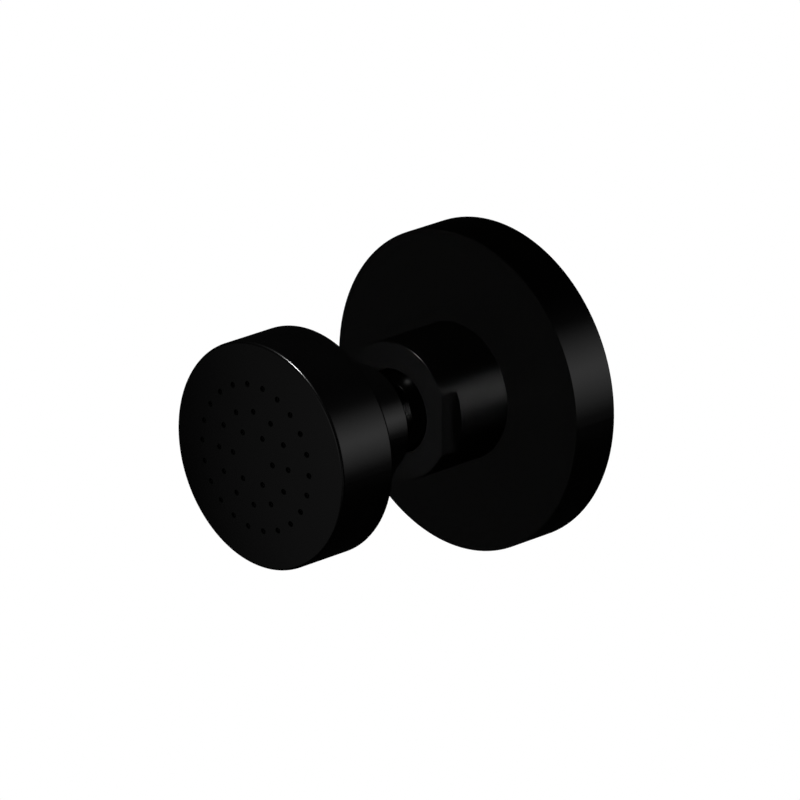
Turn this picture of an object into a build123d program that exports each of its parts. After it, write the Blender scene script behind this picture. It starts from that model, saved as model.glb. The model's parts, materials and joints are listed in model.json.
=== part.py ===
from build123d import *
from math import sqrt
import os

# Round shower body jet: a small spray head on a ball joint, held in a socket that stands out of a
# wall plate. Millimetres, +Z up. The wall is the plane Y = 0, the jet points along -Y and its inlet
# thread runs into the wall along +Y. Stations are distances out of the wall, so station s is Y = -s.

# Clearances
FIT_GAP = 0.05            # radial gap of parts screwed or pressed together
TURN_GAP = 0.10           # gap round pieces that turn against each other
SEAT_GAP = 0.05           # gap between the ball and the rings that hold it
CORD_GAP = 0.03           # gap left on each side of a seal cord in its groove

# Inlet body, from its threaded end in the wall to its nose behind the ball
INLET_THREAD_R = 10.48    # G 1/2 male thread, over its crests
INLET_THREAD_L = 15.6
INLET_THREAD_START = 0.6  # station where the thread begins
INLET_WALL = 2.18         # wall around the recess in the threaded end
INLET_END_LIP = 0.4       # how far the filter washer lies below the end face
RELIEF_R = 9.6
SHOULDER_T = 2.0
SHOULDER_STEP = 0.5       # shoulder radius under the socket nut's radius
NOSE_L = 8.5              # threaded nose that the socket nut screws onto
NOSE_LIP = 0.8
WATERWAY_R = 5.4
HEX_ACROSS = 12.0         # hexagon drive inside the nose
HEX_DEPTH = 9.0
INLET_CHAMFER = 1.16      # down to the root of the thread

# Flow regulator and filter in the threaded end
WASHER_T = 1.5
WASHER_W = 2.0
SCREEN_T = 0.4
SCREEN_HOLE_R = 0.6
SCREEN_RING_R = (2.0, 3.9, 5.8)
SCREEN_RING_HOLES = (6, 12, 18)
REGULATOR_T = 4.5
REGULATOR_WEB_T = 1.5
REGULATOR_RIM_W = 2.0
REGULATOR_CORE_R = 3.0
REGULATOR_HOLE_R = 0.7
REGULATOR_HOLES = 8

# Ball, stem and the rings that hold the ball
BALL_R = 10.0
BALL_INSET = 6.05         # ball centre behind the socket nut's front face
BORE_R = 4.5              # waterway through ball and stem
STEM_WALL = 2.1
STEM_THREAD_STEP = 0.4    # stem thread over the plain stem
STEM_THREAD_L = 11.0
STEM_ROOT_R = 0.8         # rounding where the stem meets the ball
PRELOAD_T = 2.0
PRELOAD_W = 2.8
SEAT_BASE = 1.5
SEAT_SWEEP = 3.2          # seat mouth over the ball's waterway, so that the tilted bore stays open
SEAT_RIM = 0.4            # seat rim radius under the ball radius
SLIP_L = 3.2
SLIP_HIDE = 0.05          # slip ring mouth over the socket opening

# Socket nut
SEAT_WALL = 1.7           # radial room for the seat rings round the ball
NUT_STEP = 1.3            # step out to the nut's thread
NUT_WALL = 2.0
NUT_STEP_GAP = 0.5
LIP_HOLD = 0.86           # opening radius under the ball radius
FLAT_DEPTH = 1.55         # spanner flats
FLAT_L = 4.4
NUT_EDGE = 0.2            # rounding of its front rim

# Wall plate
PLATE_R = 35.0
PLATE_DEPTH = 11.4
PLATE_FACE_T = 2.0
PLATE_WALL = 2.6
PLATE_EDGE = 0.12
COLLAR_WALL = 3.5
COLLAR_L = 6.0
COLLAR_GROOVE_LIP = 1.6
GASKET_T = 1.5
GASKET_W = 3.4
GASKET_REBATE = 1.0

# Spray head
NECK_GAP = 8.4            # neck end in front of the socket nut
NECK_R = 12.35
NECK_L = 16.65
NECK_EDGE = 0.5
HEAD_R = 24.4
HEAD_SIDE = 14.75         # cylindrical side, back to the edge of the face
DOME_RISE = 2.15
HEAD_FRONT_EDGE = 0.6
HEAD_REAR_EDGE = 0.8
HEAD_WALL = 1.8
FACE_T = 2.0
BACK_T = 3.0
BACK_RING_W = 3.5         # threaded ring on the back cover
BACK_RING_LIP = 1.2
OUTLET_R = 5.2            # waterway from the neck into the head
NECK_FLOOR_GAP = 0.2

# Nozzles and what feeds them
NOZZLE_RING_R = (5.8, 10.15, 15.7)
NOZZLE_RING_HOLES = (6, 12, 22)
FACE_HOLE_R = 0.65
NUB_GAP = 0.03            # gap round a nub in its hole
NUB_RECESS = 0.6          # nub under the face
JET_R = 0.35
MAT_RIM_T = 1.2
MAT_MARGIN = 0.4
DIFFUSER_T = 2.0
DIFFUSER_LIFT = 2.0
DIFFUSER_RING_W = 2.0
DIFFUSER_RING_R = (7.0, 13.0)
DIFFUSER_RING_HOLES = (6, 12)
DIFFUSER_HOLE_R = 1.3

# Seal cord diameters
WALL_SEAL_D = 2.4
NUT_SEAL_D = 2.0
PLATE_SEAL_D = 1.6
NECK_SEAL_D = 1.7
HEAD_SEAL_D = 1.6
REGULATOR_SEAL_D = 2.2
GROOVE_ROOM = 0.3         # groove width over its cord


def reach(sphere_r, section_r):
    """Distance from a sphere's centre to the section that has the given radius."""
    return sqrt(sphere_r**2 - section_r**2)


# Radii that follow from the ball outwards
SEAT_R = BALL_R + SEAT_GAP
STEM_R = BORE_R + STEM_WALL
STEM_THREAD_R = STEM_R + STEM_THREAD_STEP
OPENING_R = BALL_R - LIP_HOLD
SOCKET_R = BALL_R + SEAT_WALL
NUT_THREAD_R = SOCKET_R + NUT_STEP
NUT_R = NUT_THREAD_R + NUT_WALL
SEAT_MOUTH_R = BORE_R + SEAT_SWEEP
SEAT_RIM_R = BALL_R - SEAT_RIM
SLIP_MOUTH_R = OPENING_R + SLIP_HIDE
NOSE_R = NUT_THREAD_R - FIT_GAP
COLLAR_BORE_R = NUT_R + FIT_GAP
RECESS_R = INLET_THREAD_R - INLET_WALL
SHELL_BORE_R = HEAD_R - HEAD_WALL
NECK_BORE_R = STEM_THREAD_R + FIT_GAP

# Stations, from the threaded end outwards
INLET_END = INLET_THREAD_START - INLET_THREAD_L
WASHER_REAR = INLET_END + INLET_END_LIP
SCREEN_REAR = WASHER_REAR + WASHER_T
REGULATOR_REAR = SCREEN_REAR + SCREEN_T
RECESS_FLOOR = REGULATOR_REAR + REGULATOR_T
SHOULDER_REAR = INLET_THREAD_START + WALL_SEAL_D
NUT_REAR = SHOULDER_REAR + SHOULDER_T
NOSE_FRONT = NUT_REAR + NOSE_L
SEAT_REAR = NOSE_FRONT + PRELOAD_T
SEAT_MOUTH = SEAT_REAR + SEAT_BASE
BALL = SEAT_MOUTH + reach(SEAT_R, SEAT_MOUTH_R)
SEAT_FRONT = BALL - reach(SEAT_R, SEAT_RIM_R)
SLIP_FRONT = BALL + reach(SEAT_R, SLIP_MOUTH_R)
SLIP_REAR = SLIP_FRONT - SLIP_L
NUT_FRONT = BALL + BALL_INSET
NECK_REAR = NUT_FRONT + NECK_GAP
STEM_FRONT = NECK_REAR + STEM_THREAD_L
NECK_FLOOR = STEM_FRONT + NECK_FLOOR_GAP
HEAD_REAR = NECK_REAR + NECK_L
BACK_FRONT = HEAD_REAR + BACK_T
FACE_EDGE = HEAD_REAR + HEAD_SIDE
FACE_TOP = FACE_EDGE + DOME_RISE

# The domed face, and the inside of the shell that runs parallel to it
DOME_R = (HEAD_R**2 + DOME_RISE**2) / (2 * DOME_RISE)
DOME_CENTRE = FACE_TOP - DOME_R
INNER_DOME_R = DOME_R - FACE_T
MAT_DOME_R = INNER_DOME_R - FIT_GAP
MAT_R = SHELL_BORE_R - MAT_MARGIN
MAT_EDGE = DOME_CENTRE + reach(MAT_DOME_R, MAT_R)
MAT_REAR = MAT_EDGE - MAT_RIM_T
DIFFUSER_REAR = MAT_REAR - DIFFUSER_LIFT - DIFFUSER_T
BACK_RING_R = SHELL_BORE_R - FIT_GAP

# Seal grooves: bottom radius and the station of the groove's middle
NUT_GROOVE_R = NUT_THREAD_R - NUT_SEAL_D
NUT_GROOVE = NOSE_FRONT - NOSE_LIP - (NUT_SEAL_D + GROOVE_ROOM) / 2
PLATE_GROOVE_R = COLLAR_BORE_R + PLATE_SEAL_D
COLLAR_REAR = PLATE_DEPTH - PLATE_FACE_T - COLLAR_L
PLATE_GROOVE = COLLAR_REAR + COLLAR_GROOVE_LIP + (PLATE_SEAL_D + GROOVE_ROOM) / 2
NECK_GROOVE_R = NECK_BORE_R - NECK_SEAL_D - 2 * TURN_GAP
NECK_GROOVE = STEM_FRONT - NOSE_LIP - (NECK_SEAL_D + GROOVE_ROOM) / 2
HEAD_GROOVE_R = SHELL_BORE_R - HEAD_SEAL_D
HEAD_GROOVE = DIFFUSER_REAR - BACK_RING_LIP - (HEAD_SEAL_D + GROOVE_ROOM) / 2
REGULATOR_SEAL_R = REGULATOR_CORE_R + REGULATOR_SEAL_D / 2 + CORD_GAP

# Half sections are drawn as (radius, station) and turned about the jet's axis.
SECTION = Plane(origin=(0, 0, 0), x_dir=(1, 0, 0), z_dir=(0, 0, -1))


def across(station):
    """Plane across the axis at a station, facing away from the wall."""
    return Plane.XZ.offset(station)


os.makedirs("parts", exist_ok=True)

# Wall plate: a turned cup with a collar that slides over the socket nut
with BuildPart() as wall_plate:
    groove_half = (PLATE_SEAL_D + GROOVE_ROOM) / 2
    with BuildSketch(SECTION) as plate_section:
        with BuildLine():
            Polyline(
                (COLLAR_BORE_R, PLATE_DEPTH),
                (COLLAR_BORE_R, PLATE_GROOVE + groove_half),
                (PLATE_GROOVE_R, PLATE_GROOVE + groove_half),
                (PLATE_GROOVE_R, PLATE_GROOVE - groove_half),
                (COLLAR_BORE_R, PLATE_GROOVE - groove_half),
                (COLLAR_BORE_R, COLLAR_REAR),
                (COLLAR_BORE_R + COLLAR_WALL, COLLAR_REAR),
                (COLLAR_BORE_R + COLLAR_WALL, PLATE_DEPTH - PLATE_FACE_T),
                (PLATE_R - PLATE_WALL, PLATE_DEPTH - PLATE_FACE_T),
                (PLATE_R - PLATE_WALL, GASKET_T),
                (PLATE_R - PLATE_WALL + GASKET_REBATE, GASKET_T),
                (PLATE_R - PLATE_WALL + GASKET_REBATE, 0),
                (PLATE_R, 0),
                (PLATE_R, PLATE_DEPTH),
                close=True,
            )
        make_face()
        fillet(plate_section.vertices().group_by(Axis.X)[-1].sort_by(Axis.Y)[-1], PLATE_EDGE)
    revolve(axis=Axis.Y)
wall_plate.part.label = "wall_plate"
export_step(wall_plate.part, "parts/wall_plate.step")

# Socket nut: the boss that holds the ball, with two spanner flats at its front
with BuildPart() as socket_nut:
    with BuildSketch(SECTION):
        with BuildLine():
            Polyline(
                (OPENING_R, NUT_FRONT),
                (OPENING_R, SLIP_FRONT + TURN_GAP),
                (SOCKET_R, SLIP_FRONT + TURN_GAP),
                (SOCKET_R, NOSE_FRONT + NUT_STEP_GAP),
                (NUT_THREAD_R, NOSE_FRONT + NUT_STEP_GAP),
                (NUT_THREAD_R, NUT_REAR),
                (NUT_R, NUT_REAR),
                (NUT_R, NUT_FRONT),
                close=True,
            )
        make_face()
    revolve(axis=Axis.Y)
    with BuildSketch(across(NUT_FRONT - FLAT_L)):
        with Locations((NUT_R, 0), (-NUT_R, 0)):
            Rectangle(2 * FLAT_DEPTH, 2 * NUT_R)
    extrude(amount=FLAT_L, mode=Mode.SUBTRACT)
    front_face = socket_nut.faces().sort_by(Axis.Y)[0]
    fillet(front_face.outer_wire().edges(), NUT_EDGE)
socket_nut.part.label = "socket_nut"
export_step(socket_nut.part, "parts/socket_nut.step")

# Inlet body: threaded nipple with a shoulder, a nose for the socket nut and a hexagon drive
with BuildPart() as inlet_body:
    groove_half = (NUT_SEAL_D + GROOVE_ROOM) / 2
    with BuildSketch(SECTION):
        with BuildLine():
            Polyline(
                (WATERWAY_R, NOSE_FRONT),
                (NOSE_R, NOSE_FRONT),
                (NOSE_R, NUT_GROOVE + groove_half),
                (NUT_GROOVE_R, NUT_GROOVE + groove_half),
                (NUT_GROOVE_R, NUT_GROOVE - groove_half),
                (NOSE_R, NUT_GROOVE - groove_half),
                (NOSE_R, NUT_REAR),
                (NUT_R - SHOULDER_STEP, NUT_REAR),
                (NUT_R - SHOULDER_STEP, SHOULDER_REAR),
                (RELIEF_R, SHOULDER_REAR),
                (RELIEF_R, INLET_THREAD_START),
                (INLET_THREAD_R, INLET_THREAD_START),
                (INLET_THREAD_R, INLET_END + INLET_CHAMFER),
                (INLET_THREAD_R - INLET_CHAMFER, INLET_END),
                (RECESS_R, INLET_END),
                (RECESS_R, RECESS_FLOOR),
                (WATERWAY_R, RECESS_FLOOR),
                close=True,
            )
        make_face()
    revolve(axis=Axis.Y)
    with BuildSketch(across(NOSE_FRONT - HEX_DEPTH)):
        RegularPolygon(HEX_ACROSS / 2, 6, major_radius=False)
    extrude(amount=HEX_DEPTH, mode=Mode.SUBTRACT)
inlet_body.part.label = "inlet_body"
export_step(inlet_body.part, "parts/inlet_body.step")

# Flow regulator: a rim and a core on a pierced web, open towards the inlet
with BuildPart() as flow_regulator:
    regulator_r = RECESS_R - FIT_GAP
    with BuildSketch(SECTION):
        with BuildLine():
            Polyline(
                (0, RECESS_FLOOR),
                (regulator_r, RECESS_FLOOR),
                (regulator_r, REGULATOR_REAR),
                (regulator_r - REGULATOR_RIM_W, REGULATOR_REAR),
                (regulator_r - REGULATOR_RIM_W, RECESS_FLOOR - REGULATOR_WEB_T),
                (REGULATOR_CORE_R, RECESS_FLOOR - REGULATOR_WEB_T),
                (REGULATOR_CORE_R, REGULATOR_REAR),
                (0, REGULATOR_REAR),
                close=True,
            )
        make_face()
    revolve(axis=Axis.Y)
    with BuildSketch(across(RECESS_FLOOR - REGULATOR_WEB_T)):
        with PolarLocations(REGULATOR_SEAL_R, REGULATOR_HOLES):
            Circle(REGULATOR_HOLE_R)
    extrude(amount=REGULATOR_WEB_T, mode=Mode.SUBTRACT)
flow_regulator.part.label = "flow_regulator"
export_step(flow_regulator.part, "parts/flow_regulator.step")

# Filter screen: a pierced steel disc
with BuildPart() as filter_screen:
    with BuildSketch(across(SCREEN_REAR)):
        Circle(RECESS_R - FIT_GAP)
        Circle(SCREEN_HOLE_R, mode=Mode.SUBTRACT)
        for ring_r, count in zip(SCREEN_RING_R, SCREEN_RING_HOLES):
            with PolarLocations(ring_r, count):
                Circle(SCREEN_HOLE_R, mode=Mode.SUBTRACT)
    extrude(amount=SCREEN_T)
filter_screen.part.label = "filter_screen"
export_step(filter_screen.part, "parts/filter_screen.step")

# Rear seat: the ring that the ball is pressed against, with a mouth wider than the ball's bore
with BuildPart() as rear_seat:
    seat_r = SOCKET_R - FIT_GAP
    seat_mid = BALL - reach(SEAT_R, (SEAT_MOUTH_R + SEAT_RIM_R) / 2)
    with BuildSketch(SECTION):
        with BuildLine():
            Polyline(
                (SEAT_RIM_R, SEAT_FRONT),
                (seat_r, SEAT_FRONT),
                (seat_r, SEAT_REAR),
                (SEAT_MOUTH_R, SEAT_REAR),
                (SEAT_MOUTH_R, SEAT_MOUTH),
            )
            ThreePointArc(
                (SEAT_MOUTH_R, SEAT_MOUTH),
                ((SEAT_MOUTH_R + SEAT_RIM_R) / 2, seat_mid),
                (SEAT_RIM_R, SEAT_FRONT),
            )
        make_face()
    revolve(axis=Axis.Y)
rear_seat.part.label = "rear_seat"
export_step(rear_seat.part, "parts/rear_seat.step")

# Slip ring: the low-friction ring between the ball and the socket nut's lip, free to turn with the ball
with BuildPart() as slip_ring:
    slip_r = SOCKET_R - TURN_GAP
    slip_tail_r = reach(SEAT_R, SLIP_REAR - BALL)
    slip_mid = (SLIP_FRONT + SLIP_REAR) / 2
    with BuildSketch(SECTION):
        with BuildLine():
            Polyline(
                (slip_tail_r, SLIP_REAR),
                (slip_r, SLIP_REAR),
                (slip_r, SLIP_FRONT),
                (SLIP_MOUTH_R, SLIP_FRONT),
            )
            ThreePointArc(
                (SLIP_MOUTH_R, SLIP_FRONT),
                (reach(SEAT_R, slip_mid - BALL), slip_mid),
                (slip_tail_r, SLIP_REAR),
            )
        make_face()
    revolve(axis=Axis.Y)
slip_ring.part.label = "slip_ring"
export_step(slip_ring.part, "parts/slip_ring.step")

# Ball stem: ball, stem and the thread that the spray head screws onto, with a waterway right through
with BuildPart() as ball_stem:
    groove_half = (NECK_SEAL_D + GROOVE_ROOM) / 2
    ball_rear = BALL - reach(BALL_R, BORE_R)
    stem_root = BALL + reach(BALL_R, STEM_R)
    with BuildSketch(SECTION) as stem_section:
        with BuildLine():
            ThreePointArc((BORE_R, ball_rear), (BALL_R, BALL), (STEM_R, stem_root))
            Polyline(
                (STEM_R, stem_root),
                (STEM_R, NECK_REAR),
                (STEM_THREAD_R, NECK_REAR),
                (STEM_THREAD_R, NECK_GROOVE - groove_half),
                (NECK_GROOVE_R, NECK_GROOVE - groove_half),
                (NECK_GROOVE_R, NECK_GROOVE + groove_half),
                (STEM_THREAD_R, NECK_GROOVE + groove_half),
                (STEM_THREAD_R, STEM_FRONT),
                (BORE_R, STEM_FRONT),
                (BORE_R, ball_rear),
            )
        make_face()
        fillet(stem_section.vertices().sort_by_distance((STEM_R, stem_root))[0], STEM_ROOT_R)
    revolve(axis=Axis.Y)
ball_stem.part.label = "ball_stem"
export_step(ball_stem.part, "parts/ball_stem.step")

# Head back: the rear cover with the neck, screwed onto the stem and into the shell
with BuildPart() as head_back:
    groove_half = (HEAD_SEAL_D + GROOVE_ROOM) / 2
    with BuildSketch(SECTION) as back_section:
        with BuildLine():
            Polyline(
                (NECK_BORE_R, NECK_REAR),
                (NECK_R, NECK_REAR),
                (NECK_R, HEAD_REAR),
                (BACK_RING_R, HEAD_REAR),
                (BACK_RING_R, HEAD_GROOVE - groove_half),
                (HEAD_GROOVE_R, HEAD_GROOVE - groove_half),
                (HEAD_GROOVE_R, HEAD_GROOVE + groove_half),
                (BACK_RING_R, HEAD_GROOVE + groove_half),
                (BACK_RING_R, DIFFUSER_REAR),
                (BACK_RING_R - BACK_RING_W, DIFFUSER_REAR),
                (BACK_RING_R - BACK_RING_W, BACK_FRONT),
                (OUTLET_R, BACK_FRONT),
                (OUTLET_R, NECK_FLOOR),
                (NECK_BORE_R, NECK_FLOOR),
                close=True,
            )
        make_face()
        fillet(back_section.vertices().sort_by_distance((NECK_R, NECK_REAR))[0], NECK_EDGE)
    revolve(axis=Axis.Y)
head_back.part.label = "head_back"
export_step(head_back.part, "parts/head_back.step")

# Head shell: a turned cup whose front is cut to a shallow dome and drilled for the nozzles
with BuildPart() as head_shell:
    inner_edge = DOME_CENTRE + reach(INNER_DOME_R, SHELL_BORE_R)
    with BuildSketch(SECTION) as shell_section:
        with BuildLine():
            Polyline(
                (0, FACE_TOP),
                (HEAD_R, FACE_TOP),
                (HEAD_R, HEAD_REAR),
                (SHELL_BORE_R, HEAD_REAR),
                (SHELL_BORE_R, inner_edge),
            )
            RadiusArc((SHELL_BORE_R, inner_edge), (0, FACE_TOP - FACE_T), -INNER_DOME_R)
            Line((0, FACE_TOP - FACE_T), (0, FACE_TOP))
        make_face()
        fillet(shell_section.vertices().sort_by_distance((HEAD_R, HEAD_REAR))[0], HEAD_REAR_EDGE)
    revolve(axis=Axis.Y)
    with Locations((0, -DOME_CENTRE, 0)):
        Sphere(DOME_R, mode=Mode.INTERSECT)
    front_edge = head_shell.edges().filter_by(GeomType.CIRCLE).sort_by(Axis.Y)[0]
    fillet(front_edge, HEAD_FRONT_EDGE)
    with BuildSketch(across(MAT_REAR)):
        for ring_r, count in zip(NOZZLE_RING_R, NOZZLE_RING_HOLES):
            with PolarLocations(ring_r, count):
                Circle(FACE_HOLE_R)
    extrude(amount=FACE_TOP - MAT_REAR, mode=Mode.SUBTRACT)
head_shell.part.label = "head_shell"
export_step(head_shell.part, "parts/head_shell.step")

# Nozzle mat: a silicone disc under the face with a pierced nub in each nozzle hole
with BuildPart() as nozzle_mat:
    mat_top = DOME_CENTRE + MAT_DOME_R
    with BuildSketch(SECTION):
        with BuildLine():
            RadiusArc((0, mat_top), (MAT_R, MAT_EDGE), MAT_DOME_R)
            Polyline((MAT_R, MAT_EDGE), (MAT_R, MAT_REAR), (0, MAT_REAR), (0, mat_top))
        make_face()
    revolve(axis=Axis.Y)
    for ring_r, count in zip(NOZZLE_RING_R, NOZZLE_RING_HOLES):
        nub_top = DOME_CENTRE + reach(DOME_R, ring_r) - NUB_RECESS
        with BuildSketch(across(MAT_REAR)):
            with PolarLocations(ring_r, count):
                Circle(FACE_HOLE_R - NUB_GAP)
        extrude(amount=nub_top - MAT_REAR)
        with BuildSketch(across(MAT_REAR)):
            with PolarLocations(ring_r, count):
                Circle(JET_R)
        extrude(amount=nub_top - MAT_REAR, mode=Mode.SUBTRACT)
nozzle_mat.part.label = "nozzle_mat"
export_step(nozzle_mat.part, "parts/nozzle_mat.step")

# Diffuser plate: a pierced plate whose rim the back cover clamps against the nozzle mat
with BuildPart() as diffuser_plate:
    with BuildSketch(across(DIFFUSER_REAR)):
        Circle(MAT_R)
        for ring_r, count in zip(DIFFUSER_RING_R, DIFFUSER_RING_HOLES):
            with PolarLocations(ring_r, count):
                Circle(DIFFUSER_HOLE_R, mode=Mode.SUBTRACT)
    extrude(amount=DIFFUSER_T)
    with BuildSketch(across(DIFFUSER_REAR + DIFFUSER_T)):
        Circle(MAT_R)
        Circle(MAT_R - DIFFUSER_RING_W, mode=Mode.SUBTRACT)
    extrude(amount=DIFFUSER_LIFT)
diffuser_plate.part.label = "diffuser_plate"
export_step(diffuser_plate.part, "parts/diffuser_plate.step")

# Flat rubber rings: name, outer radius, width, rear station, thickness
FLAT_RINGS = (
    ("plate_gasket", PLATE_R - PLATE_WALL + GASKET_REBATE - FIT_GAP, GASKET_W, 0, GASKET_T),
    ("filter_washer", RECESS_R - FIT_GAP, WASHER_W, WASHER_REAR, WASHER_T),
    ("preload_ring", SOCKET_R - FIT_GAP, PRELOAD_W, NOSE_FRONT, PRELOAD_T),
)
for label, outer_r, width, rear, thickness in FLAT_RINGS:
    with BuildPart() as flat_ring:
        with BuildSketch(across(rear)):
            Circle(outer_r)
            Circle(outer_r - width, mode=Mode.SUBTRACT)
        extrude(amount=thickness)
    flat_ring.part.label = label
    export_step(flat_ring.part, f"parts/{label}.step")

# Round seal cords: name, radius of the groove's inner side, station of the middle, cord diameter, gap
REGULATOR_SEAL = RECESS_FLOOR - REGULATOR_WEB_T - REGULATOR_SEAL_D / 2
SEAL_CORDS = (
    ("inlet_seal", RELIEF_R, SHOULDER_REAR - WALL_SEAL_D / 2, WALL_SEAL_D, CORD_GAP),
    ("nut_seal", NUT_GROOVE_R, NUT_GROOVE, NUT_SEAL_D, CORD_GAP),
    ("plate_seal", COLLAR_BORE_R, PLATE_GROOVE, PLATE_SEAL_D, CORD_GAP),
    ("neck_seal", NECK_GROOVE_R + TURN_GAP, NECK_GROOVE, NECK_SEAL_D, 0),
    ("head_seal", HEAD_GROOVE_R, HEAD_GROOVE, HEAD_SEAL_D, CORD_GAP),
    ("regulator_seal", REGULATOR_CORE_R + CORD_GAP, REGULATOR_SEAL, REGULATOR_SEAL_D, 0),
)
for label, inner_r, station, cord_d, gap in SEAL_CORDS:
    with BuildPart() as seal_cord:
        with BuildSketch(SECTION):
            with Locations((inner_r + cord_d / 2, station)):
                Circle(cord_d / 2 - gap)
        revolve(axis=Axis.Y)
    seal_cord.part.label = label
    export_step(seal_cord.part, f"parts/{label}.step")
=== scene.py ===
"""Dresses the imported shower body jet: finishes, a cut inlet thread, nozzle lips and a white studio."""

import json
from math import cos, pi, radians, sin, tau
from typing import NamedTuple

import bmesh
import bpy
from bpy.props import FloatProperty, FloatVectorProperty, IntProperty, IntVectorProperty, PointerProperty
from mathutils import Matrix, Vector


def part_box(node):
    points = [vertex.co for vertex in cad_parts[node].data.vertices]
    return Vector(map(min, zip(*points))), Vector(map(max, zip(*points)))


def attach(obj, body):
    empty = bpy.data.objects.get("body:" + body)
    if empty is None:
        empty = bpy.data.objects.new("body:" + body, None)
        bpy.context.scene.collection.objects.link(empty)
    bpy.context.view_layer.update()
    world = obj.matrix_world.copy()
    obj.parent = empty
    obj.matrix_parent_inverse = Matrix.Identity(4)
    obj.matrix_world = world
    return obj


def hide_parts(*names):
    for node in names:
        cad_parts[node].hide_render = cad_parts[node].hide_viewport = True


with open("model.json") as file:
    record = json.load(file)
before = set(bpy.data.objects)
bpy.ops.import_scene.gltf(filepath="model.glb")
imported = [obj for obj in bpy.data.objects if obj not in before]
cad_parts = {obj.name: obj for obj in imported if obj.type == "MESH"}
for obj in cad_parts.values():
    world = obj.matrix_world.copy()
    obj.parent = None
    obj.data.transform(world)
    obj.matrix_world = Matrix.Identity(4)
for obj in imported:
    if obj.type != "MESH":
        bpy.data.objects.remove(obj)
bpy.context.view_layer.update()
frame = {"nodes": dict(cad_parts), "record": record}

bl_info = {
    "name": "Shower Body Jet",
    "version": (1, 0, 0),
    "blender": (4, 5, 0),
    "location": "3D View > Sidebar > Body Jet",
    "description": "Finishes, inlet thread, nozzle lips and studio for a round shower body jet",
    "category": "Object",
}

MM = 0.001

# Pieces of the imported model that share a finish
COATED = ("wall_plate", "socket_nut", "ball_stem", "head_back", "head_shell")
RUBBER = (
    "plate_gasket", "plate_seal", "inlet_seal", "nut_seal", "neck_seal",
    "head_seal", "regulator_seal", "preload_ring", "filter_washer",
)
ACETAL = ("rear_seat", "slip_ring", "flow_regulator", "diffuser_plate")
SILICONE = ("nozzle_mat",)
STEEL = ("filter_screen",)

# The inlet body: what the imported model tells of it, then the radii and depths of its section
INLET_LOW, INLET_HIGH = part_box("inlet_body")
THREAD_MOUNT = next(mount for mount in frame["record"]["mounts"] if mount["name"] == "inlet_thread")
CREST_R = THREAD_MOUNT["dims"]["r_mm"] * MM
SHOULDER_R = INLET_HIGH.x
NOSE_FRONT = INLET_LOW.y
INLET_END = INLET_HIGH.y
THREAD_START = -0.6 * MM
SHOULDER_REAR = -3.0 * MM
SHOULDER_FRONT = -5.0 * MM
RELIEF_R = 9.6 * MM
NOSE_R = 12.95 * MM
NOSE_LIP = 0.8 * MM
GROOVE_R = 11.0 * MM
GROOVE_WIDTH = 2.3 * MM
HEX_R = 6.0 * MM
HEX_DEPTH = 9.0 * MM
WATERWAY_R = 5.4 * MM
RECESS_R = 8.3 * MM
RECESS_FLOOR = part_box("flow_regulator")[0].y

# The thread's grid has a turn to spare at each end, because its rows follow the helix
SPARE_TURNS = 2

# The spray head's domed face
FACE_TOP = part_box("head_shell")[0].y
HEAD_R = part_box("head_shell")[1].x
DOME_RISE = 2.15 * MM
DOME_R = (HEAD_R**2 + DOME_RISE**2) / (2 * DOME_RISE)
LIP_SIDES = 24
LIP_SECTION_SIDES = 10

SHARP_EDGE = radians(32)
WELD = 1e-6


def linear(hex_colour):
    """The linear colour of an sRGB hex value."""
    parts = [int(hex_colour[i:i + 2], 16) / 255 for i in (1, 3, 5)]
    return [p / 12.92 if p <= 0.04045 else ((p + 0.055) / 1.055) ** 2.4 for p in parts]


def per(size):
    """Scale of a pattern whose features are that many millimetres across."""
    return 1 / (size * MM)


def add(tree, kind, inputs=None, **settings):
    """Adds a node, with its settings, and links or sets its inputs."""
    node = tree.nodes.new(kind)
    for name, value in settings.items():
        setattr(node, name, value)
    for socket, value in (inputs or {}).items():
        if isinstance(value, bpy.types.Node):
            value = value.outputs[0]
        if isinstance(value, bpy.types.NodeSocket):
            tree.links.new(value, node.inputs[socket])
        else:
            node.inputs[socket].default_value = value
    return node


def new_material(name):
    """An empty material, its shader and the object's own coordinates."""
    material = bpy.data.materials.new(name)
    material.use_nodes = True
    tree = material.node_tree
    tree.nodes.clear()
    shader = add(tree, "ShaderNodeBsdfPrincipled")
    add(tree, "ShaderNodeOutputMaterial", {"Surface": shader})
    place = add(tree, "ShaderNodeTexCoord").outputs["Object"]
    return material, tree, shader, place


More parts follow.
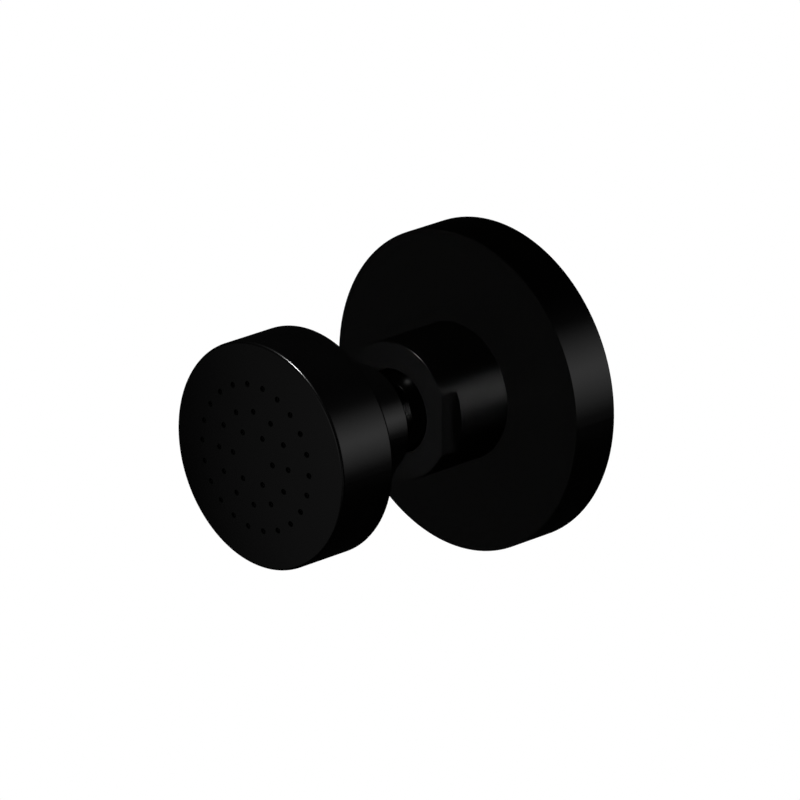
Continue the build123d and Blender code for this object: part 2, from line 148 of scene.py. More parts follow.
def black_coat(colours):
    """Satin black stoved coat on brass.

    The eye sees an almost black skin with one soft band of light along each round side. The coat flows
    a little before it sets, so that band has a faint orange peel, and a finer grain breaks its edge.
    """
    material, tree, shader, place = new_material("satin_black_coat")
    peel = add(tree, "ShaderNodeTexNoise", {"Vector": place, "Scale": per(1.4), "Detail": 1.0})
    grain = add(tree, "ShaderNodeTexNoise", {"Vector": place, "Scale": per(0.22), "Detail": 2.0})
    drift = add(tree, "ShaderNodeTexNoise", {"Vector": place, "Scale": per(11.0), "Detail": 2.0})
    tint = add(tree, "ShaderNodeValToRGB", {"Fac": drift})
    tint.color_ramp.elements[0].position = 0.35
    tint.color_ramp.elements[0].color = (*[0.85 * c for c in colours.coat], 1)
    tint.color_ramp.elements[1].position = 0.65
    tint.color_ramp.elements[1].color = (*[1.15 * c for c in colours.coat], 1)
    gloss = add(tree, "ShaderNodeMapRange", {"Value": grain, "To Min": 0.205, "To Max": 0.235})
    skin = add(tree, "ShaderNodeBump", {"Height": peel, "Strength": 0.10, "Distance": 0.05 * MM})
    bump = add(tree, "ShaderNodeBump",
               {"Height": grain, "Strength": 0.10, "Distance": 0.01 * MM, "Normal": skin})
    tree.links.new(tint.outputs["Color"], shader.inputs["Base Color"])
    tree.links.new(gloss.outputs["Result"], shader.inputs["Roughness"])
    tree.links.new(bump.outputs["Normal"], shader.inputs["Normal"])
    shader.inputs["IOR"].default_value = 1.5
    return material


def turned_brass(colours):
    """Bare brass, turned on a lathe.

    The eye sees warm metal with fine rings left by the tool's feed, and darker blotches where air has
    dulled it. The feed is drawn at 0.35 mm, coarser than a real 0.1 mm, so that it shows.
    """
    material, tree, shader, place = new_material("turned_brass")
    along = add(tree, "ShaderNodeSeparateXYZ", {"Vector": place})
    outward = add(tree, "ShaderNodeVectorMath", {0: place, 1: (1, 0, 1)}, operation="MULTIPLY")
    radius = add(tree, "ShaderNodeVectorMath", {0: outward}, operation="LENGTH").outputs["Value"]
    sweep = add(tree, "ShaderNodeMath", {0: along.outputs["Y"], 1: radius}, operation="ADD")
    feed = add(tree, "ShaderNodeMath", {0: sweep, 1: tau * per(0.35)}, operation="MULTIPLY")
    rings = add(tree, "ShaderNodeMath", {0: feed}, operation="SINE")
    dulled = add(tree, "ShaderNodeTexNoise", {"Vector": place, "Scale": per(5.0), "Detail": 4.0})
    tint = add(tree, "ShaderNodeValToRGB", {"Fac": dulled})
    tint.color_ramp.elements[0].position = 0.30
    tint.color_ramp.elements[0].color = (*[0.72 * c for c in colours.brass], 1)
    tint.color_ramp.elements[1].position = 0.62
    tint.color_ramp.elements[1].color = (*colours.brass, 1)
    gloss = add(tree, "ShaderNodeMapRange", {"Value": dulled, "To Min": 0.42, "To Max": 0.26})
    bump = add(tree, "ShaderNodeBump", {"Height": rings, "Strength": 0.25, "Distance": 0.008 * MM})
    tree.links.new(tint.outputs["Color"], shader.inputs["Base Color"])
    tree.links.new(gloss.outputs["Result"], shader.inputs["Roughness"])
    tree.links.new(bump.outputs["Normal"], shader.inputs["Normal"])
    shader.inputs["Metallic"].default_value = 1.0
    return material


def moulded(name, colour, roughness, grain_size, grain_depth, bloom):
    """A moulded rubber or plastic: one colour with a paler bloom in patches, and the mould's fine grain.

    The grain's size and depth are in millimetres, and the bloom is how many times paler the patches are.
    """
    material, tree, shader, place = new_material(name)
    patches = add(tree, "ShaderNodeTexNoise", {"Vector": place, "Scale": per(4.0), "Detail": 3.0})
    grain = add(tree, "ShaderNodeTexNoise", {"Vector": place, "Scale": per(grain_size), "Detail": 2.0})
    tint = add(tree, "ShaderNodeValToRGB", {"Fac": patches})
    tint.color_ramp.elements[0].position = 0.38
    tint.color_ramp.elements[0].color = (*colour, 1)
    tint.color_ramp.elements[1].position = 0.70
    tint.color_ramp.elements[1].color = (*[min(1, bloom * c) for c in colour], 1)
    gloss = add(tree, "ShaderNodeMapRange",
                {"Value": grain, "To Min": roughness - 0.06, "To Max": roughness + 0.06})
    bump = add(tree, "ShaderNodeBump", {"Height": grain, "Strength": 0.3, "Distance": grain_depth * MM})
    tree.links.new(tint.outputs["Color"], shader.inputs["Base Color"])
    tree.links.new(gloss.outputs["Result"], shader.inputs["Roughness"])
    tree.links.new(bump.outputs["Normal"], shader.inputs["Normal"])
    return material, shader


def epdm_rubber(colours):
    """Moulded EPDM rubber: a dull soft black with a greyish bloom and no clear highlight."""
    material, shader = moulded("moulded_epdm", colours.rubber, roughness=0.78,
                               grain_size=0.30, grain_depth=0.03, bloom=1.7)
    shader.inputs["IOR"].default_value = 1.48
    return material


def white_acetal(colours):
    """Moulded acetal: a milky off-white plastic with a waxy sheen that lets a little light in."""
    material, shader = moulded("moulded_acetal", colours.acetal, roughness=0.36,
                               grain_size=0.50, grain_depth=0.01, bloom=1.04)
    shader.inputs["IOR"].default_value = 1.48
    shader.inputs["Subsurface Weight"].default_value = 0.15
    shader.inputs["Subsurface Radius"].default_value = (1.2 * MM, 1.0 * MM, 0.8 * MM)
    return material


def nozzle_silicone(colours):
    """Moulded silicone: a dark, slightly greasy rubber that catches a small light on each lip."""
    material, shader = moulded("moulded_silicone", colours.silicone, roughness=0.50,
                               grain_size=0.20, grain_depth=0.01, bloom=1.3)
    shader.inputs["IOR"].default_value = 1.41
    return material


def etched_steel(colours):
    """Etched stainless sheet: a grey metal, rolled in one direction, with fine streaks along the roll."""
    material, tree, shader, place = new_material("etched_stainless")
    rolled = add(tree, "ShaderNodeMapping", {"Vector": place, "Scale": (0.06, 1, 1)})
    streaks = add(tree, "ShaderNodeTexNoise", {"Vector": rolled, "Scale": per(0.25), "Detail": 3.0})
    tint = add(tree, "ShaderNodeValToRGB", {"Fac": streaks})
    tint.color_ramp.elements[0].color = (*[0.75 * c for c in colours.steel], 1)
    tint.color_ramp.elements[1].color = (*colours.steel, 1)
    gloss = add(tree, "ShaderNodeMapRange", {"Value": streaks, "To Min": 0.28, "To Max": 0.42})
    bump = add(tree, "ShaderNodeBump", {"Height": streaks, "Strength": 0.2, "Distance": 0.005 * MM})
    tree.links.new(tint.outputs["Color"], shader.inputs["Base Color"])
    tree.links.new(gloss.outputs["Result"], shader.inputs["Roughness"])
    tree.links.new(bump.outputs["Normal"], shader.inputs["Normal"])
    shader.inputs["Metallic"].default_value = 1.0
    return material


def dress(nodes, material):
    """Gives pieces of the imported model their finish."""
    for name in nodes:
        for slot in frame["nodes"][name].material_slots:
            slot.material = material


def new_tree(name, inputs):
    """A geometry node tree with named inputs, and its input node."""
    tree = bpy.data.node_groups.new(name, "GeometryNodeTree")
    tree.interface.new_socket("Geometry", in_out="INPUT", socket_type="NodeSocketGeometry")
    for label, kind in inputs.items():
        tree.interface.new_socket(label, in_out="INPUT", socket_type=f"NodeSocket{kind}")
    tree.interface.new_socket("Geometry", in_out="OUTPUT", socket_type="NodeSocketGeometry")
    return tree, add(tree, "NodeGroupInput").outputs


def grow(name, mesh, tree, values):
    """Runs a tree on a mesh and keeps the result as a plain, closed mesh with outward faces."""
    piece = bpy.data.objects.new(name, mesh)
    bpy.context.scene.collection.objects.link(piece)
    modifier = piece.modifiers.new(tree.name, "NODES")
    modifier.node_group = tree
    for item in tree.interface.items_tree:
        if item.in_out == "INPUT" and item.name in values:
            modifier[item.identifier] = values[item.name]
    depsgraph = bpy.context.evaluated_depsgraph_get()
    grown = bpy.data.meshes.new_from_object(piece.evaluated_get(depsgraph))
    piece.modifiers.remove(modifier)
    piece.data = grown
    surface = bmesh.new()
    surface.from_mesh(grown)
    bmesh.ops.remove_doubles(surface, verts=surface.verts, dist=WELD)
    bmesh.ops.recalc_face_normals(surface, faces=surface.faces)
    surface.to_mesh(grown)
    surface.free()
    grown.shade_smooth()
    grown.set_sharp_from_angle(angle=SHARP_EDGE)
    return piece


def lathe(name, rings, columns):
    """An open turned surface. Each ring is a radius, a place along Y and a number of sides, 0 for round."""
    surface = bmesh.new()
    rows = []
    for radius, along, sides in rings:
        row = []
        for k in range(columns):
            angle = -pi + tau * k / columns
            reach = radius
            if sides:
                reach = radius / cos((angle + pi / sides) % (tau / sides) - pi / sides)
            row.append(surface.verts.new((reach * cos(angle), along, reach * sin(angle))))
        rows.append(row)
    for low, high in zip(rows, rows[1:]):
        for k in range(columns):
            after = (k + 1) % columns
            surface.faces.new((low[k], low[after], high[after], high[k]))
    mesh = bpy.data.meshes.new(name)
    surface.to_mesh(mesh)
    surface.free()
    return mesh


def thread_tree():
    """A helical pipe thread: a grid whose rows follow the helix, wrapped round Y and cut to shape.

    The groove runs out before the shoulder, and a chamfer at the free end goes down to the root, so both
    end rings are true circles that weld to the turned body.
    """
    tree, given = new_tree("pipe_thread", {
        "Pitch": "Float", "Crest Radius": "Float", "Root Radius": "Float", "Start": "Float", "End": "Float",
        "Run Out": "Float", "Columns": "Int", "Rows": "Int", "Finish": "Material",
    })
    length = add(tree, "ShaderNodeMath", {0: given["End"], 1: given["Start"]}, operation="SUBTRACT")
    margin = add(tree, "ShaderNodeMath", {0: given["Pitch"], 1: SPARE_TURNS, 2: length},
                 operation="MULTIPLY_ADD")
    across = add(tree, "ShaderNodeMath", {0: given["Columns"], 1: 1}, operation="ADD")
    grid = add(tree, "GeometryNodeMeshGrid",
               {"Size X": margin, "Size Y": tau, "Vertices X": given["Rows"], "Vertices Y": across})
    flat = add(tree, "ShaderNodeSeparateXYZ", {"Vector": add(tree, "GeometryNodeInputPosition")})
    ends = add(tree, "ShaderNodeMath", {0: given["End"], 1: given["Start"]}, operation="ADD")
    along = add(tree, "ShaderNodeMath", {0: ends, 1: 0.5, 2: flat.outputs["X"]}, operation="MULTIPLY_ADD")
    turn = add(tree, "ShaderNodeMath", {0: flat.outputs["Y"], 1: tau}, operation="DIVIDE")
    skewed = add(tree, "ShaderNodeMath", {0: turn, 1: given["Pitch"], 2: along}, operation="MULTIPLY_ADD")
    station = add(tree, "ShaderNodeClamp", {"Value": skewed, "Min": given["Start"], "Max": given["End"]})
    pitches = add(tree, "ShaderNodeMath", {0: station, 1: given["Pitch"]}, operation="DIVIDE")
    phase = add(tree, "ShaderNodeMath", {0: pitches, 1: turn}, operation="SUBTRACT")
    wave = add(tree, "ShaderNodeMath", {0: phase, 1: 0.5}, operation="PINGPONG")
    cut = add(tree, "ShaderNodeMapRange",
              {"Value": wave, "From Max": 0.5,
               "To Min": given["Root Radius"], "To Max": given["Crest Radius"]},
              interpolation_type="SMOOTHSTEP")
    left = add(tree, "ShaderNodeMath", {0: given["End"], 1: station}, operation="SUBTRACT")
    cone = add(tree, "ShaderNodeMath", {0: left, 1: given["Root Radius"]}, operation="ADD")
    chamfered = add(tree, "ShaderNodeMath", {0: cut, 1: cone}, operation="MINIMUM")
    deep = add(tree, "ShaderNodeMath", {0: given["Start"], 1: given["Run Out"]}, operation="ADD")
    fade = add(tree, "ShaderNodeMapRange",
               {"Value": station, "From Min": deep, "From Max": given["Start"],
                "To Min": given["Root Radius"], "To Max": given["Crest Radius"]})
    radius = add(tree, "ShaderNodeMath", {0: chamfered, 1: fade}, operation="MAXIMUM")
    cosine = add(tree, "ShaderNodeMath", {0: flat.outputs["Y"]}, operation="COSINE")
    sine = add(tree, "ShaderNodeMath", {0: flat.outputs["Y"]}, operation="SINE")
    side = add(tree, "ShaderNodeMath", {0: radius, 1: cosine}, operation="MULTIPLY")
    height = add(tree, "ShaderNodeMath", {0: radius, 1: sine}, operation="MULTIPLY")
    wrapped = add(tree, "ShaderNodeCombineXYZ", {"X": side, "Y": station, "Z": height})
    thread = add(tree, "GeometryNodeSetPosition", {"Geometry": grid, "Position": wrapped})
    whole = add(tree, "GeometryNodeJoinGeometry", {"Geometry": given["Geometry"]})
    tree.links.new(thread.outputs["Geometry"], whole.inputs["Geometry"])
    welded = add(tree, "GeometryNodeMergeByDistance", {"Geometry": whole, "Distance": WELD})
    real = add(tree, "GeometryNodeRealizeInstances", {"Geometry": welded})
    finished = add(tree, "GeometryNodeSetMaterial", {"Geometry": real, "Material": given["Finish"]})
    add(tree, "NodeGroupOutput", {"Geometry": finished})
    return tree


def lip_tree(rings):
    """Rounded silicone lips: rings of points just under the domed face, with a lip set on each."""
    sizes = {"Face Top": "Float", "Dome Radius": "Float", "Recess": "Float", "Lip Radius": "Float",
             "Lip Thickness": "Float", "Finish": "Material"}
    for number in range(1, rings + 1):
        sizes[f"Ring {number} Radius"] = "Float"
        sizes[f"Ring {number} Nozzles"] = "Int"
    tree, given = new_tree("nozzle_lips", sizes)
    layout = add(tree, "GeometryNodeJoinGeometry")
    for number in range(1, rings + 1):
        ring = add(tree, "GeometryNodeMeshCircle",
                   {"Vertices": given[f"Ring {number} Nozzles"], "Radius": given[f"Ring {number} Radius"]})
        tree.links.new(ring.outputs["Mesh"], layout.inputs["Geometry"])
    spot = add(tree, "GeometryNodeInputPosition")
    flat = add(tree, "ShaderNodeSeparateXYZ", {"Vector": spot})
    out = add(tree, "ShaderNodeVectorMath", {0: spot}, operation="LENGTH").outputs["Value"]
    share = add(tree, "ShaderNodeMath", {0: out, 1: given["Dome Radius"]}, operation="DIVIDE")
    slope = add(tree, "ShaderNodeMath", {0: share}, operation="ARCSINE")
    height = add(tree, "ShaderNodeMath", {0: slope}, operation="COSINE")
    drop = add(tree, "ShaderNodeMath", {0: 1.0, 1: height}, operation="SUBTRACT")
    under = add(tree, "ShaderNodeMath", {0: given["Face Top"], 1: given["Recess"]}, operation="ADD")
    along = add(tree, "ShaderNodeMath", {0: drop, 1: given["Dome Radius"], 2: under},
                operation="MULTIPLY_ADD")
    seat = add(tree, "ShaderNodeCombineXYZ",
               {"X": flat.outputs["X"], "Y": along, "Z": flat.outputs["Y"]})
    seated = add(tree, "GeometryNodeSetPosition", {"Geometry": layout, "Position": seat})
    half = add(tree, "ShaderNodeMath", {0: given["Lip Thickness"], 1: 0.5}, operation="MULTIPLY")
    path = add(tree, "GeometryNodeCurvePrimitiveCircle",
               {"Resolution": LIP_SIDES, "Radius": given["Lip Radius"]})
    section = add(tree, "GeometryNodeCurvePrimitiveCircle",
                  {"Resolution": LIP_SECTION_SIDES, "Radius": half})
    lip = add(tree, "GeometryNodeCurveToMesh", {"Curve": path, "Profile Curve": section})
    facing = add(tree, "GeometryNodeTransform", {"Geometry": lip, "Rotation": (pi / 2, 0, 0)})
    lips = add(tree, "GeometryNodeInstanceOnPoints", {"Points": seated, "Instance": facing})
    real = add(tree, "GeometryNodeRealizeInstances", {"Geometry": lips})
    finished = add(tree, "GeometryNodeSetMaterial", {"Geometry": real, "Material": given["Finish"]})
    add(tree, "NodeGroupOutput", {"Geometry": finished})
    return tree


# Where the light comes from, as directions from the jet. The fills and the strips lie where the faces, the
# spanner flat and the round sides mirror them to the main view.
KEY_FROM = (-0.067, -0.384, 0.921)
STRIP_FROM = (0.727, 0.670, 0.150)
GLOW_FROM = (0.772, 0.616, 0.160)
FILL_FROM = (-0.362, -0.887, -0.284)
PLATE_FILL_FROM = (-0.745, -0.575, -0.338)
FLAT_FILL_FROM = (0.664, 0.671, -0.331)
FRONT = (0, -1, 0)
FRONT_RIGHT = (0.683, -0.683, -0.259)
RIGHT = (0.908, 0.375, 0.188)
BEHIND = (-0.664, 0.671, -0.331)
REAR_LEFT = (-0.65, 0.68, 0.34)
REAR_RIGHT = (0.65, 0.68, 0.34)
LAMP_DISTANCE = 1.2

# Pieces that share a lamp
PLATE = ("wall_plate",)
NUT = ("socket_nut",)
BALL = ("ball_stem",)
HEAD = ("head_back", "head_shell")
SEEN_FROM_FRONT = (*PLATE, *NUT, *HEAD, *SILICONE, "nozzle_lips")
BEHIND_PLATE = (
    "threaded_inlet", "plate_gasket", "inlet_seal", "filter_washer", "filter_screen", "flow_regulator",
    "regulator_seal",
)


class Lamp(NamedTuple):
    """A panel lamp that faces the jet"""

    name: str
    direction: tuple
    width: float
    height: float
    light: float            # irradiance at the jet, in watts a square metre
    pieces: tuple           # what it lights
    shadows: bool = True    # whether anything throws a shadow in its light
    blockers: tuple = ()    # what does so, if not everything
    bounces: int = 0        # how often its light goes on from piece to piece
    fades: str = ""         # axes along which it fades from its middle to its edges


# The key draws a line of light on the front edges of the head and the nut, leaves the cover plate's edge
# dark and makes one dim spot on the ball. The strips fade towards their long edges, so their bands on the
# round sides have soft flanks, and the glow draws those flanks out. The cover plate doesn't hide the strip
# from the nut, and the head leaves no dark patch on the faces behind it, so those lamps throw no shadow, or
# only the nut's own. The lamps from the right strip on show the sides that the main view hides.
LAMPS = (
    Lamp("head_key", KEY_FROM, 0.26, 0.26, 4.10, HEAD),
    Lamp("nut_key", KEY_FROM, 0.26, 0.26, 1.75, NUT),
    Lamp("ball_glint", KEY_FROM, 0.16, 0.16, 0.025, BALL, shadows=False),
    Lamp("side_strip", STRIP_FROM, 0.40, 1.04, 0.098, (*PLATE, *HEAD), fades="Y"),
    Lamp("side_glow", GLOW_FROM, 1.30, 1.90, 0.026, (*PLATE, *HEAD), fades="XY"),
    Lamp("nut_strip", STRIP_FROM, 0.40, 1.04, 0.085, NUT, blockers=NUT, fades="Y"),
    Lamp("stem_strip", STRIP_FROM, 0.20, 1.04, 0.0425, BALL, shadows=False, fades="Y"),
    Lamp("head_fill", FILL_FROM, 1.96, 1.10, 0.078, HEAD, fades="X"),
    Lamp("nut_fill", FILL_FROM, 0.82, 0.82, 0.092, NUT, blockers=NUT),
    Lamp("plate_fill", PLATE_FILL_FROM, 0.90, 0.60, 0.0148, PLATE, shadows=False),
    Lamp("flat_fill", FLAT_FILL_FROM, 0.50, 0.50, 0.0045, NUT, blockers=NUT),
    Lamp("right_strip", RIGHT, 0.42, 1.04, 0.085, COATED, fades="Y"),
    Lamp("front_panel", FRONT, 1.00, 1.00, 0.060, SEEN_FROM_FRONT, fades="XY"),
    Lamp("right_panel", FRONT_RIGHT, 0.80, 0.80, 0.035, SEEN_FROM_FRONT, fades="XY"),
    Lamp("counter_lamp", BEHIND, 0.10, 0.10, 0.060, COATED),
    Lamp("rear_left", REAR_LEFT, 1.20, 1.20, 1.60, BEHIND_PLATE, bounces=3),
    Lamp("rear_right", REAR_RIGHT, 1.20, 1.20, 1.60, BEHIND_PLATE, bounces=3),
)

# The white surroundings light the jet at a plain level. The coat mirrors a dark room, so they are faint in
# reflections, and the lamps make the highlights.
ROOM_LIGHT = 0.4
MIRRORED_ROOM = 0.002

SENSOR_WIDTH = 36
CAMERA_REACH = (0.05, 50)

# The floor is full up to the first radius, and has faded away at the second, before its own edge
FLOOR_R = 0.42
FLOOR_SIDES = 96
FLOOR_FADE = (0.12, 0.40)
FLOOR_GLOW = 0.72
FLOOR_COLOUR = "#d0d0d0"


def place_camera(scene, settings):
    """A long lens that looks at the jet from the front right and a little above."""
    azimuth, elevation = settings.azimuth, settings.elevation
    back = Vector((sin(azimuth) * cos(elevation), -cos(azimuth) * cos(elevation), sin(elevation)))
    camera = bpy.data.objects.new("camera", bpy.data.cameras.new("camera"))
    camera.data.sensor_width = SENSOR_WIDTH
    camera.data.lens = settings.lens
    camera.location = Vector(settings.target) + back * settings.distance
    camera.rotation_euler = (-back).to_track_quat("-Z", "Y").to_euler()
    camera.data.clip_start, camera.data.clip_end = CAMERA_REACH
    scene.collection.objects.link(camera)
    scene.camera = camera


def collect(name, pieces):
    """A collection of pieces for a lamp."""
    collection = bpy.data.collections.new(name)
    for piece in pieces:
        collection.objects.link(bpy.data.objects[piece])
    return collection


def place_lamp(scene, lamp):
    """Hangs a lamp, turns it to the jet and links it to the pieces that it lights.

    Only a fading lamp with full shadows is also found by mirrored rays, which keeps its grain low. A piece
    would mirror the small bright keys a second time, and the plate would hide the others from the nut.
    """
    light = bpy.data.lights.new(lamp.name, "AREA")
    light.shape = "RECTANGLE"
    light.size, light.size_y = lamp.width, lamp.height
    light.energy = lamp.light * pi * LAMP_DISTANCE**2
    light.use_shadow = lamp.shadows
    light.cycles.use_multiple_importance_sampling = bool(lamp.fades) and lamp.shadows and not lamp.blockers
    light.cycles.max_bounces = lamp.bounces
    if lamp.fades:
        fade_edges(light, lamp.fades)
    holder = bpy.data.objects.new(lamp.name, light)
    toward = Vector(lamp.direction).normalized()
    holder.location = toward * LAMP_DISTANCE
    holder.rotation_euler = (-toward).to_track_quat("-Z", "Y").to_euler()
    holder.visible_camera = False
    scene.collection.objects.link(holder)
    holder.light_linking.receiver_collection = collect(f"{lamp.name}_lit", lamp.pieces)
    if lamp.blockers:
        holder.light_linking.blocker_collection = collect(f"{lamp.name}_blockers", lamp.blockers)


def fade_edges(light, axes):
    """Makes a panel brightest in its middle and dark at its edges, along the axes given.

    Along each axis the slope runs from 0 to 0.5 and back, with a mean of a quarter, so four times that
    keeps the lamp's light.
    """
    light.use_nodes = True
    tree = light.node_tree
    tree.nodes.clear()
    spot = add(tree, "ShaderNodeNewGeometry").outputs["Parametric"]
    panel = add(tree, "ShaderNodeSeparateXYZ", {"Vector": spot})
    strength = 4.0 ** len(axes)
    for axis in axes:
        slope = add(tree, "ShaderNodeMath", {0: panel.outputs[axis], 1: 0.5}, operation="PINGPONG")
        strength = add(tree, "ShaderNodeMath", {0: slope, 1: strength}, operation="MULTIPLY")
    glow = add(tree, "ShaderNodeEmission", {"Strength": strength})
    add(tree, "ShaderNodeOutputLight", {"Surface": glow})


def lay_floor(scene, drop):
    """A pale round floor that fades into the white, so its shadow stays and its edge doesn't show."""
    disc = bmesh.new()
    bmesh.ops.create_circle(disc, cap_ends=True, segments=FLOOR_SIDES, radius=FLOOR_R)
    bmesh.ops.translate(disc, verts=disc.verts, vec=(0, 0, -drop))
    mesh = bpy.data.meshes.new("floor")
    disc.to_mesh(mesh)
    disc.free()
    floor = bpy.data.objects.new("floor", mesh)
    scene.collection.objects.link(floor)
    material = bpy.data.materials.new("pale_floor")
    material.use_nodes = True
    tree = material.node_tree
    tree.nodes.clear()
    place = add(tree, "ShaderNodeTexCoord").outputs["Object"]
    level = add(tree, "ShaderNodeVectorMath", {0: place, 1: (1, 1, 0)}, operation="MULTIPLY")
    out = add(tree, "ShaderNodeVectorMath", {0: level}, operation="LENGTH").outputs["Value"]
    fade = add(tree, "ShaderNodeMapRange",
               {"Value": out, "From Min": FLOOR_FADE[0], "From Max": FLOOR_FADE[1]},
               interpolation_type="SMOOTHSTEP")
    behind = add(tree, "ShaderNodeNewGeometry").outputs["Backfacing"]
    clear = add(tree, "ShaderNodeMath", {0: fade, 1: behind}, operation="MAXIMUM")
    glow = add(tree, "ShaderNodeEmission", {"Color": (1, 1, 1, 1), "Strength": FLOOR_GLOW})
    paint = add(tree, "ShaderNodeBsdfDiffuse", {"Color": (*linear(FLOOR_COLOUR), 1)})
    pale = add(tree, "ShaderNodeAddShader", {0: glow, 1: paint})
    gone = add(tree, "ShaderNodeBsdfTransparent")
    seen = add(tree, "ShaderNodeMixShader", {0: clear, 1: pale, 2: gone})
    add(tree, "ShaderNodeOutputMaterial", {"Surface": seen})
    mesh.materials.append(material)
    floor.visible_diffuse = floor.visible_glossy = floor.visible_transmission = False


def white_surroundings(scene):
    """White to the camera and through clear pieces, plain light on the jet, and faint in reflections."""
    world = bpy.data.worlds.new("white_surroundings")
    world.use_nodes = True
    tree = world.node_tree
    tree.nodes.clear()
    path = add(tree, "ShaderNodeLightPath").outputs
    direct = add(tree, "ShaderNodeMath", {0: path["Is Camera Ray"], 1: path["Is Transmission Ray"]},
                 operation="MAXIMUM")
    mirrored = add(tree, "ShaderNodeMath", {0: path["Is Glossy Ray"], 1: MIRRORED_ROOM, 2: direct},
                   operation="MULTIPLY_ADD")
    strength = add(tree, "ShaderNodeMath", {0: path["Is Diffuse Ray"], 1: ROOM_LIGHT, 2: mirrored},
                   operation="MULTIPLY_ADD")
    white = add(tree, "ShaderNodeBackground", {"Color": (1, 1, 1, 1), "Strength": strength})
    add(tree, "ShaderNodeOutputWorld", {"Surface": white})
    world.cycles.sampling_method = "NONE"
    scene.world = world


class FinishColours(bpy.types.PropertyGroup):
    """Colours of the jet's materials"""

    coat: FloatVectorProperty(
        name="Coat", description="Satin black coat of the metal pieces", subtype="COLOR",
        default=linear("#020202"))
    brass: FloatVectorProperty(
        name="Brass", description="Bare brass of the inlet", subtype="COLOR", default=linear("#c7a45c"))
    rubber: FloatVectorProperty(
        name="Rubber", description="Seals, washers and the wall gasket", subtype="COLOR",
        default=linear("#161616"))
    acetal: FloatVectorProperty(
        name="Acetal", description="Seats, regulator and diffuser", subtype="COLOR",
        default=linear("#dedad0"))
    silicone: FloatVectorProperty(
        name="Silicone", description="Nozzle mat and its lips", subtype="COLOR", default=linear("#0b0b0b"))
    steel: FloatVectorProperty(
        name="Steel", description="Filter screen", subtype="COLOR", default=linear("#b9babc"))


class ThreadSizes(bpy.types.PropertyGroup):
    """Sizes of the inlet's half-inch pipe thread"""

    pitch: FloatProperty(
        name="Pitch", description="Crest to crest, 14 to the inch", unit="LENGTH", default=25.4 * MM / 14)
    depth: FloatProperty(
        name="Depth", description="Crest to root", unit="LENGTH", default=1.162 * MM)
    run_out: FloatProperty(
        name="Run Out", description="Length over which the groove fades", unit="LENGTH", default=2.0 * MM)
    columns: IntProperty(
        name="Columns", description="Faces round the thread", default=144)
    rows_per_turn: IntProperty(
        name="Rows per Turn", description="Faces from crest to crest", default=14)


class NozzleSizes(bpy.types.PropertyGroup):
    """Sizes and layout of the nozzle lips"""

    ring_radii: FloatVectorProperty(
        name="Ring Radii", description="Radii of the nozzle rings", unit="LENGTH",
        default=(5.8 * MM, 10.15 * MM, 15.7 * MM))
    ring_counts: IntVectorProperty(
        name="Nozzles", description="Nozzles in each ring", default=(6, 12, 22))
    lip_radius: FloatProperty(
        name="Lip Radius", description="Radius of a lip's middle line", unit="LENGTH", default=0.485 * MM)
    lip_thickness: FloatProperty(
        name="Lip Thickness", description="Thickness of a lip", unit="LENGTH", default=0.26 * MM)
    recess: FloatProperty(
        name="Recess", description="Depth of a lip's middle under the face", unit="LENGTH", default=0.61 * MM)


class StageSettings(bpy.types.PropertyGroup):
    """Camera and light"""

    azimuth: FloatProperty(
        name="Azimuth", description="Camera's turn from the front", subtype="ANGLE", default=radians(44.698))
    elevation: FloatProperty(
        name="Elevation", description="Camera's height over the horizon", subtype="ANGLE",
        default=radians(19.339))
    distance: FloatProperty(
        name="Distance", description="Camera to the point it looks at", unit="LENGTH", default=1703.7 * MM)
    target: FloatVectorProperty(
        name="Target", description="Point the camera looks at", subtype="TRANSLATION",
        default=(4.80 * MM, -33.06 * MM, 4.44 * MM))
    lens: FloatProperty(
        name="Lens", description="Focal length in millimetres on a 36 mm sensor", default=367.85)
    floor_drop: FloatProperty(
        name="Floor", description="Floor below the jet's axis", unit="LENGTH", default=300 * MM)


class BodyJetSettings(bpy.types.PropertyGroup):
    """All settings of the body jet"""

    colours: PointerProperty(type=FinishColours)
    thread: PointerProperty(type=ThreadSizes)
    nozzles: PointerProperty(type=NozzleSizes)
    stage: PointerProperty(type=StageSettings)


class BODYJET_OT_coat(bpy.types.Operator):
    """Coats the cover plate, socket nut, ball stem and spray head"""

    bl_idname = "bodyjet.coat"
    bl_label = "Coat the Metal"

    def execute(self, context):
        dress(COATED, black_coat(context.scene.body_jet.colours))
        return {"FINISHED"}


class BODYJET_OT_seals(bpy.types.Operator):
    """Finishes the rubber seals and washers, the plastic seats and the filter screen"""

    bl_idname = "bodyjet.seals"
    bl_label = "Finish Seals and Seats"

    def execute(self, context):
        colours = context.scene.body_jet.colours
        dress(RUBBER, epdm_rubber(colours))
        dress(ACETAL, white_acetal(colours))
        dress(STEEL, etched_steel(colours))
        return {"FINISHED"}


class BODYJET_OT_nozzles(bpy.types.Operator):
    """Finishes the nozzle mat and sets a rounded lip on each nozzle"""

    bl_idname = "bodyjet.nozzles"
    bl_label = "Set the Nozzle Lips"

    def execute(self, context):
        sizes = context.scene.body_jet.nozzles
        silicone = nozzle_silicone(context.scene.body_jet.colours)
        dress(SILICONE, silicone)
        values = {
            "Face Top": FACE_TOP, "Dome Radius": DOME_R, "Recess": sizes.recess,
            "Lip Radius": sizes.lip_radius, "Lip Thickness": sizes.lip_thickness, "Finish": silicone,
        }
        for number, (radius, count) in enumerate(zip(sizes.ring_radii, sizes.ring_counts), 1):
            values[f"Ring {number} Radius"] = radius
            values[f"Ring {number} Nozzles"] = count
        empty = bpy.data.meshes.new("nozzle_lips")
        lips = grow("nozzle_lips", empty, lip_tree(len(sizes.ring_radii)), values)
        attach(lips, "spray_head")
        return {"FINISHED"}


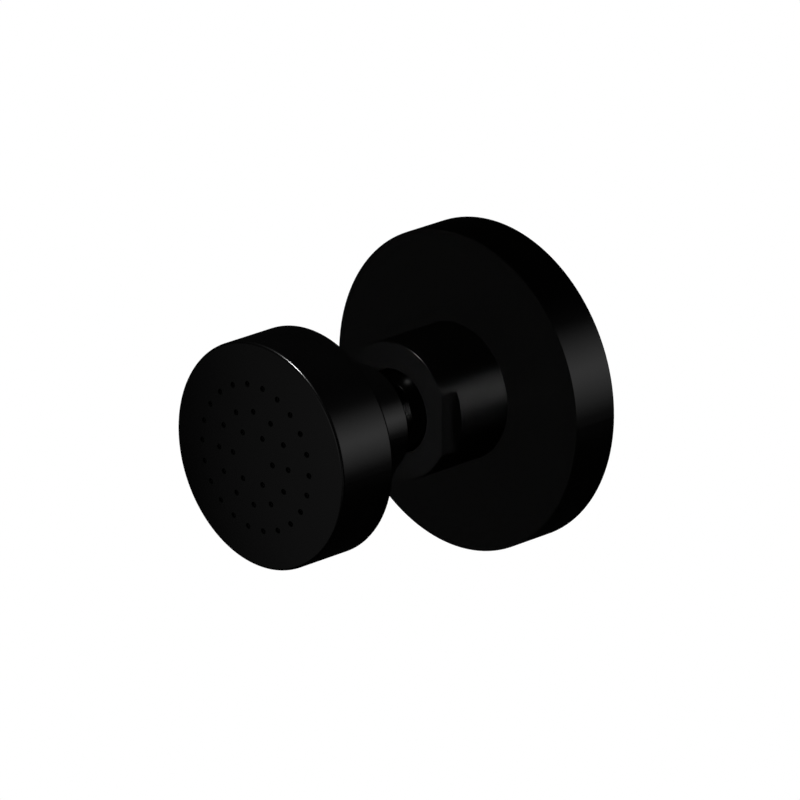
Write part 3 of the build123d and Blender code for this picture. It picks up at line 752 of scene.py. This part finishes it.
class BODYJET_OT_inlet(bpy.types.Operator):
    """Turns the brass inlet body and cuts its pipe thread"""

    bl_idname = "bodyjet.inlet"
    bl_label = "Cut the Inlet Thread"

    def execute(self, context):
        sizes = context.scene.body_jet.thread
        root_r = CREST_R - sizes.depth
        groove_front = NOSE_FRONT + NOSE_LIP
        groove_rear = groove_front + GROOVE_WIDTH
        hex_floor = NOSE_FRONT + HEX_DEPTH
        rings = (
            (CREST_R, THREAD_START, 0),
            (RELIEF_R, THREAD_START, 0),
            (RELIEF_R, SHOULDER_REAR, 0),
            (SHOULDER_R, SHOULDER_REAR, 0),
            (SHOULDER_R, SHOULDER_FRONT, 0),
            (NOSE_R, SHOULDER_FRONT, 0),
            (NOSE_R, groove_rear, 0),
            (GROOVE_R, groove_rear, 0),
            (GROOVE_R, groove_front, 0),
            (NOSE_R, groove_front, 0),
            (NOSE_R, NOSE_FRONT, 0),
            (HEX_R, NOSE_FRONT, 6),
            (HEX_R, hex_floor, 6),
            (WATERWAY_R, hex_floor, 0),
            (WATERWAY_R, RECESS_FLOOR, 0),
            (RECESS_R, RECESS_FLOOR, 0),
            (RECESS_R, INLET_END, 0),
            (root_r, INLET_END, 0),
        )
        turns = (INLET_END - THREAD_START) / sizes.pitch + SPARE_TURNS
        values = {
            "Pitch": sizes.pitch, "Crest Radius": CREST_R, "Root Radius": root_r, "Start": THREAD_START,
            "End": INLET_END, "Run Out": sizes.run_out, "Columns": sizes.columns,
            "Rows": round(turns * sizes.rows_per_turn),
            "Finish": turned_brass(context.scene.body_jet.colours),
        }
        inlet = grow("threaded_inlet", lathe("threaded_inlet", rings, sizes.columns), thread_tree(), values)
        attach(inlet, "wall_fitting")
        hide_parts("inlet_body")
        return {"FINISHED"}


class BODYJET_OT_stage(bpy.types.Operator):
    """Sets the camera, the lamps, the floor and the white surroundings"""

    bl_idname = "bodyjet.stage"
    bl_label = "Set the Stage"

    def execute(self, context):
        settings = context.scene.body_jet.stage
        scene = context.scene
        scene.view_settings.view_transform = "Standard"
        place_camera(scene, settings)
        for lamp in LAMPS:
            place_lamp(scene, lamp)
        lay_floor(scene, settings.floor_drop)
        white_surroundings(scene)
        return {"FINISHED"}


class BODYJET_PT_panel(bpy.types.Panel):
    """Lists the steps and their settings"""

    bl_label = "Body Jet"
    bl_space_type = "VIEW_3D"
    bl_region_type = "UI"
    bl_category = "Body Jet"

    def draw(self, context):
        settings = context.scene.body_jet
        for step, group in STEPS:
            column = self.layout.column(align=True)
            column.operator(step.bl_idname)
            for name in getattr(settings, group).__annotations__ if group else ():
                column.prop(getattr(settings, group), name)


STEPS = (
    (BODYJET_OT_coat, "colours"),
    (BODYJET_OT_seals, ""),
    (BODYJET_OT_nozzles, "nozzles"),
    (BODYJET_OT_inlet, "thread"),
    (BODYJET_OT_stage, "stage"),
)

CLASSES = (
    FinishColours, ThreadSizes, NozzleSizes, StageSettings, BodyJetSettings,
    *[step for step, group in STEPS], BODYJET_PT_panel,
)


def register():
    for cls in CLASSES:
        bpy.utils.register_class(cls)
    bpy.types.Scene.body_jet = PointerProperty(type=BodyJetSettings)


def unregister():
    del bpy.types.Scene.body_jet
    for cls in reversed(CLASSES):
        bpy.utils.unregister_class(cls)


def main():
    """Runs every step in order."""
    register()
    bpy.ops.bodyjet.coat()
    bpy.ops.bodyjet.seals()
    bpy.ops.bodyjet.nozzles()
    bpy.ops.bodyjet.inlet()
    bpy.ops.bodyjet.stage()


if __name__ == "__main__":
    main()
